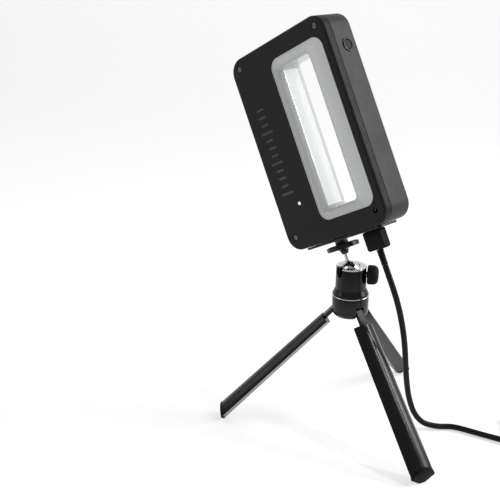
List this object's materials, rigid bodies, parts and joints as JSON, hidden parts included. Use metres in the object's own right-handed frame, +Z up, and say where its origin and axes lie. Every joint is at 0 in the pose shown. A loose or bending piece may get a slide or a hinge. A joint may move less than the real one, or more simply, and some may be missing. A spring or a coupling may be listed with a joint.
{
  "type": "handheld 3-d scanner on a mini tripod",
  "caption": "Rectangular ring-shaped handheld 3-D scanner with a glossy hand hole, held on a folding mini tripod by a ball head, with its cable coiled beside it.",
  "frame": {"origin": "on the floor, below the centre of the box round the scanner and tripod without the loose cable", "axes": "+Z up; the scanner's width and length lie in the XZ plane, leaning towards -X; +Y runs from the scanner's rear face to its front face with the sensor window"},
  "size_m": [0.3215, 0.2598, 0.3604],
  "materials": {
    "aluminium": "satin",
    "black_metal": "glossy black",
    "black_rubber": "matte",
    "black_shell": "fine matte texture",
    "board_green": "solder mask",
    "cable_jacket": "soft satin jacket",
    "chip_black": "matte",
    "chrome": "polished",
    "dark_steel": "dark",
    "dark_window": "smoked and opaque to the eye",
    "grey_liner": "glossy light grey",
    "light_lens": "clear",
    "nylon": "natural"
  },
  "bodies": {
    "stand": {"leg_hub": "black_metal", "hinge_pin_1": "dark_steel", "hinge_pin_2": "dark_steel", "hinge_pin_3": "dark_steel", "hub_bolt": "dark_steel", "hub_ring": "chrome", "head_barrel": "black_metal", "barrel_rim": "chrome"},
    "leg_1": {"leg_link_1": "black_metal", "leg_1_bar": "black_metal", "leg_1_foot": "black_rubber"},
    "leg_2": {"leg_link_2": "black_metal", "leg_2_bar": "black_metal", "leg_2_foot": "black_rubber"},
    "leg_3": {"leg_link_3": "black_metal", "leg_3_bar": "black_metal", "leg_3_foot": "black_rubber"},
    "clamp_shoe": {"clamp_shoe": "nylon"},
    "clamp_knob": {"clamp_knob": "black_rubber", "clamp_screw": "dark_steel"},
    "ball_seat": {"ball_cup": "nylon", "cable": "cable_jacket", "cable_coil": "cable_jacket", "cable_tie": "black_rubber", "cable_tail": "cable_jacket", "usb_plug_body": "black_rubber", "usb_plug_shell": "chrome"},
    "scan_button": {"scan_button": "black_shell"},
    "scanner": {"rear_shell": "black_shell", "rear_screw_1": "dark_steel", "rear_screw_2": "dark_steel", "rear_screw_3": "dark_steel", "rear_screw_4": "dark_steel", "front_shell": "black_shell", "sensor_window": "dark_window", "liner_rear": "grey_liner", "liner_front": "grey_liner", "upper_camera": "chip_black", "lower_camera": "chip_black", "colour_camera": "chip_black", "pattern_projector": "aluminium", "optics_bracket": "aluminium", "light_board": "board_green", "main_board": "board_green", "status_light": "light_lens", "button_ring": "black_metal", "button_switch": "chip_black", "end_plate": "black_metal", "plate_screw_1": "dark_steel", "plate_screw_2": "dark_steel", "tripod_socket": "dark_steel", "cable_jack": "dark_steel", "plug_tip": "chrome", "cable_plug": "black_rubber", "strain_relief": "black_rubber", "ball_stem": "chrome", "platform": "black_metal", "platform_pad": "black_rubber", "mount_screw": "dark_steel"}
  },
  "joints": [
    {"name": "leg_1_fold", "type": "hinge", "parent": "stand", "child": "leg_1", "pos_m": [0.00079, -0.02151, 0.1186], "axis": [0.6691, -0.7431, 0], "range_deg": [0, 44]},
    {"name": "leg_2_fold", "type": "hinge", "parent": "stand", "child": "leg_2", "pos_m": [0.01773, -0.01791, 0.1186], "axis": [0.309, 0.9511, 0], "range_deg": [0, 44]},
    {"name": "leg_3_fold", "type": "hinge", "parent": "stand", "child": "leg_3", "pos_m": [0.00614, -0.00503, 0.1186], "axis": [-0.9781, -0.2079, 0], "range_deg": [0, 44]},
    {"name": "clamp_press", "type": "slide", "parent": "stand", "child": "clamp_shoe", "axis": [0.8387, 0.5446, 0], "range_m": [0, 0.0008]},
    {"name": "knob_turn", "type": "hinge", "parent": "clamp_shoe", "child": "clamp_knob", "pos_m": [0.02021, -0.00703, 0.144], "axis": [0.8387, 0.5446, 0], "range_deg": [0, 360]},
    {"name": "head_pan", "type": "hinge", "parent": "stand", "child": "ball_seat", "pos_m": [0.00822, -0.01482, 0.1466], "axis": [0, 0, 1], "range_deg": [-20, 70]},
    {"name": "head_tilt", "type": "hinge", "parent": "ball_seat", "child": "scanner", "pos_m": [0.00822, -0.01482, 0.1466], "axis": [0, 1, 0], "range_deg": [-15.7, 68.3], "deforming": ["cable"]},
    {"name": "button_press", "type": "slide", "parent": "scanner", "child": "scan_button", "axis": [-0.8965, 0, -0.4431], "range_m": [0, 0.0008], "stiffness_N_per_m": 1500, "springref_m": -0.0004}
  ],
  "couplings": [
    {"joint": "clamp_press", "follows": "knob_turn", "m_per_rad": 0.00012732}
  ]
}
